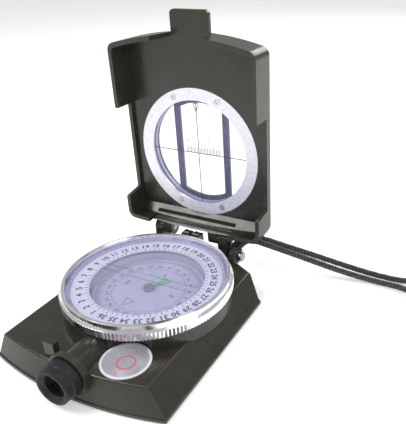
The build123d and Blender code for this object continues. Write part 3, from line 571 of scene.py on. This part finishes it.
# ---------------------------------------------------------------- printed and embossed detail
# radii, lengths and widths in millimetres
DIAL_ZERO = math.radians(-92)
DIAL_NUMBERS = 36
DIAL_NUMBER_R = 22.5
DIAL_NUMBER_SIZE = 3.0
DIAL_TICK_R = 19.6
DIAL_TICK_LONG_R = 20.9
DIAL_TICK_SHORT_R = 20.4
DIAL_RIM_R = 25.5
CARD_RIM_R = 17.9
CARD_NUMBER_R = 14.1
CARD_TRIANGLE_TIP_R = 11.4
CARD_TRIANGLE_BASE_R = 7.8
CARD_TRIANGLE_HALF = 2.0
HAIRLINE_OFFSET = 1.5
HAIRLINE_REACH = 18.4
HAIRLINE_WIDTH = 0.16
LEVEL_RING_R = 2.4
LEVEL_RING_WIDTH = 0.6
SCALE_PITCH = 0.62
SCALE_FOOT = 0.2
SCALE_TICK_WIDTH = 0.18
SIGHT_TIP = 15.6
SIGHT_TOP = 18.6
SIGHT_HALF = 1.05


def add_dial(black):
    """Numbers 1 to 36, read from outside, with ticks on the well's side."""
    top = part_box("bezel_dial")[1].z
    dial = Marks(level_face(top))
    for number in range(1, DIAL_NUMBERS + 1):
        angle = DIAL_ZERO - 2 * math.pi * number / DIAL_NUMBERS
        place = (DIAL_NUMBER_R * math.cos(angle), DIAL_NUMBER_R * math.sin(angle))
        dial.text(str(number), place, DIAL_NUMBER_SIZE, angle)
    for i in range(360 // 5):
        outer = DIAL_TICK_LONG_R if i % 2 == 0 else DIAL_TICK_SHORT_R
        dial.radial(DIAL_ZERO + math.radians(5 * i), DIAL_TICK_R, outer, 0.22)
    for i in range(120):
        dial.radial(DIAL_ZERO + math.radians(3 * i), 25.6, 26.1, 0.14)
    dial.ring((0, 0), DIAL_RIM_R, 0.14, steps=120)
    dial.build("dial_print", black, "bezel", "print_black")


def add_card_print(black):
    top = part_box("compass_card")[1].z
    card = Marks(level_face(top))
    for i in range(120):
        step = i % 10
        inner = 15.4 if step == 0 else (16.2 if step == 5 else 16.7)
        card.radial(math.radians(3 * i), inner, CARD_RIM_R, 0.22)
    card.ring((0, 0), CARD_RIM_R, 0.14, steps=120)
    card.ring((0, 0), 12.7, 0.12, steps=96)
    for i in range(24):
        angle = math.radians(15 * i + 4)
        place = (CARD_NUMBER_R * math.cos(angle), CARD_NUMBER_R * math.sin(angle))
        card.text(str(15 * i), place, 1.6, angle)
    for i in range(36):
        card.radial(math.radians(10 * i + 4), 12.0, 12.7, 0.12)
    # the open triangle that shows where the card points, and cardinal letters
    card_turn = math.radians(-105)
    tip = Vector((math.cos(card_turn), math.sin(card_turn)))
    side = Vector((-tip.y, tip.x))
    base = tip * CARD_TRIANGLE_BASE_R
    half = side * CARD_TRIANGLE_HALF
    corners = [tip * CARD_TRIANGLE_TIP_R, base + half, base - half]
    for a, b in zip(corners, corners[1:] + corners[:1]):
        card.line(a, b, 0.28)
    for letter, degrees in (("E", -2), ("S", 88), ("W", 178)):
        angle = math.radians(degrees)
        card.text(letter, (9.2 * math.cos(angle), 9.2 * math.sin(angle)), 2.6, angle)
    card.build("card_print", black, "card", "print_black")


def add_crystal_lines(black):
    """Two hairlines across the window over the card, which turn with the bezel."""
    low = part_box("bezel_crystal")[0]
    lines = Marks(level_face(low.z), thickness=-0.03)
    for side in (-HAIRLINE_OFFSET, HAIRLINE_OFFSET):
        lines.line((-HAIRLINE_REACH, side), (HAIRLINE_REACH, side), HAIRLINE_WIDTH)
    lines.build("crystal_lines", black, "bezel", "print_black")


def add_level_print():
    """The red ring and the two short marks on the level's dome."""
    centre = middle("level_lens")
    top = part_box("level_liquid")[1].z
    marks = Marks(level_face(top, centre.x, centre.y), thickness=0.04)
    marks.ring((0, 0), LEVEL_RING_R, LEVEL_RING_WIDTH, steps=64)
    for side in (-1, 1):
        marks.line((0, side * 4.6), (0, side * 5.8), 0.35)
    marks.build("level_print", ink("print_red", (0.50, 0.01, 0.10)), "base", "print_black")


def add_reticle_scale(black):
    """The scale above the level line, two long ticks and the small triangle on the sighting line."""
    low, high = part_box("sight_reticle")
    centre = (low + high) / 2
    upright = Matrix.Rotation(math.pi / 2, 4, "X")
    to_frame = Matrix.Translation(Vector((centre.x, low.y, centre.z)) / MM) @ upright
    scale = Marks(to_frame, thickness=0.06)
    for i in range(-8, 15):
        height = 2.8 if i % 5 == 0 else 2.0
        x = i * SCALE_PITCH
        scale.line((x, SCALE_FOOT), (x, SCALE_FOOT + height), SCALE_TICK_WIDTH)
    for x in (-4.6, 4.6):
        scale.line((x, 3.9), (x, 6.6), SCALE_TICK_WIDTH)
    corners = [(0, SIGHT_TIP), (-SIGHT_HALF, SIGHT_TOP), (SIGHT_HALF, SIGHT_TOP)]
    for a, b in zip(corners, corners[1:] + corners[:1]):
        scale.line(a, b, 0.24)
    scale.build("reticle_scale", black, "lid", "print_black")


def add_ruler_ticks(paint):
    """Raised ticks on the bevelled right edge of the case."""
    plate_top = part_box("base_plate")[1].z
    foot = Vector((31.1, 0, plate_top / MM))
    top = Vector((24.7, 0, 9.15))
    up = (top - foot).normalized()
    along = Vector((0, 1, 0))
    out = along.cross(up)
    if out.x < 0:
        out = -out
    turn = Matrix((along, up, out)).transposed().to_4x4()
    ticks = Marks(Matrix.Translation(foot) @ turn, thickness=0.10)
    for i in range(51):
        y = -29.5 + i
        height = 2.6 if i % 10 == 0 else (2.0 if i % 5 == 0 else 1.3)
        ticks.line((y, 0.9), (y, 0.9 + height), 0.22)
    for i in range(6):
        ticks.text(str(i), (-28.3 + 10 * i, 4.6), 2.1, math.pi / 2)
    ticks.build("ruler_marks", paint, "base", "case_paint")


# ---------------------------------------------------------------- floor and light
def add_stage():
    mesh = mesh_of("floor", [(-3, -3, 0), (3, -3, 0), (3, 3, 0), (-3, 3, 0)], [[0, 1, 2, 3]])
    floor = bpy.data.objects.new("floor", mesh)
    floor.data.materials.append(floor_material())
    bpy.context.collection.objects.link(floor)
    world = bpy.data.worlds.new("studio")
    world.use_nodes = True
    background = world.node_tree.nodes["Background"]
    background.inputs["Color"].default_value = (1, 1, 1, 1)
    background.inputs["Strength"].default_value = 0.5
    bpy.context.scene.world = world
    target = Vector((0, 0, 0.03))
    add_light("key", (-0.35, -0.25, 0.55), target, 0.30, 2.4)
    add_light("right", (0.5, -0.1, 0.35), target, 0.3, 1.0)
    add_light("back", (0.1, 0.55, 0.45), target, 0.4, 2.2)
    scene = bpy.context.scene
    scene.view_settings.view_transform = "Standard"


def add_light(name, place, target, size, power):
    data = bpy.data.lights.new(name, "AREA")
    data.size = size
    data.energy = power
    light = bpy.data.objects.new(name, data)
    light.location = place
    light.rotation_euler = (Vector(place) - target).to_track_quat("Z", "Y").to_euler()
    bpy.context.collection.objects.link(light)


# ---------------------------------------------------------------- everything
def paint_nodes(materials):
    """Every CAD node that stays on show gets the finish of its slot."""
    for row in frame["record"]["subparts"]:
        obj = frame["nodes"][row["node"]]
        obj.data.materials.clear()
        obj.data.materials.append(materials[row["material_slot"]])


def build():
    materials = {
        "case_paint": case_paint(),
        # plate_paint is the same case paint darkened to 0.8: a painted shade copy of one paint
        "plate_paint": case_paint("plate_paint", 0.8),
        "bright_aluminium": bright_aluminium(),
        "satin_aluminium": blasted_aluminium(),
        "steel": steel(),
        "screw_chrome": steel("screw_chrome", (0.62, 0.62, 0.66), 0.2),
        "brass": steel("brass", (0.70, 0.52, 0.22), 0.3),
        "black_metal": matt_black(),
        "rubber": rubber(),
        "white_plastic": white_plastic(),
        "card_plastic": white_plastic("card_plastic", (0.62, 0.62, 0.86), 0.5),
        "clear_plastic": clear("clear_plastic", (0.95, 0.95, 1.0), 0.13),
        # The glass's strong blue stands in for the bluish surroundings it reflects: painted reflection.
        "glass": clear("glass", (0.48, 0.52, 0.97), 0.10),
        "seal": seal(),
        "print_black": ink(),
        "luminous": luminous(),
        "magnet": matt_black("magnet", 0.4),
        "liquid": clear("liquid", (0.92, 0.92, 0.90), 0.1),
        "cord": braid_material(),
    }
    add_camera()
    add_lanyard(materials["cord"])
    paint_nodes(materials)
    add_dial(materials["print_black"])
    add_card_print(materials["print_black"])
    add_crystal_lines(materials["print_black"])
    add_level_print()
    add_reticle_scale(materials["print_black"])
    add_ruler_ticks(materials["case_paint"])
    add_stage()


build()
